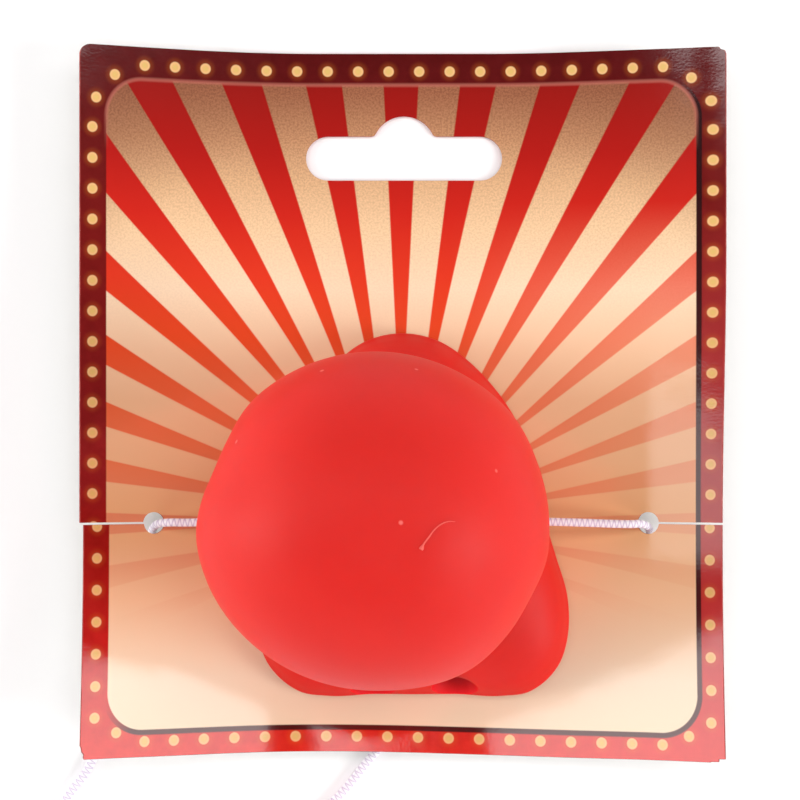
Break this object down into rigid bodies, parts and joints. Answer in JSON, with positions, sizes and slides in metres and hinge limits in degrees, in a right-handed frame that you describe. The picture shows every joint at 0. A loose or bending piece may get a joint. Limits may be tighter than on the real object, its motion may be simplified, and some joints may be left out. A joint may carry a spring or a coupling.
{
  "type": "clown nose on a display card",
  "caption": "Soft hollow squeeze ball on a flared base that fits over a wearer's nose, with a round head elastic, held on a curled display card.",
  "frame": {"origin": "on the table, under the middle of the card", "axes": "+Z from the card out through the ball, +Y towards the card's top edge, +X to the right as the card is read"},
  "size_m": [0.1124, 0.1708, 0.0566],
  "materials": {
    "printed_card": "gloss coated print",
    "soft_pvc": "satin",
    "squeaker_plastic": "matte",
    "elastic": "braided"
  },
  "bodies": {
    "root": {"card": "printed_card", "nose": "soft_pvc", "squeaker": "squeaker_plastic", "knot_left": "elastic", "knot_right": "elastic", "elastic_cord": "elastic"}
  },
  "joints": []
}
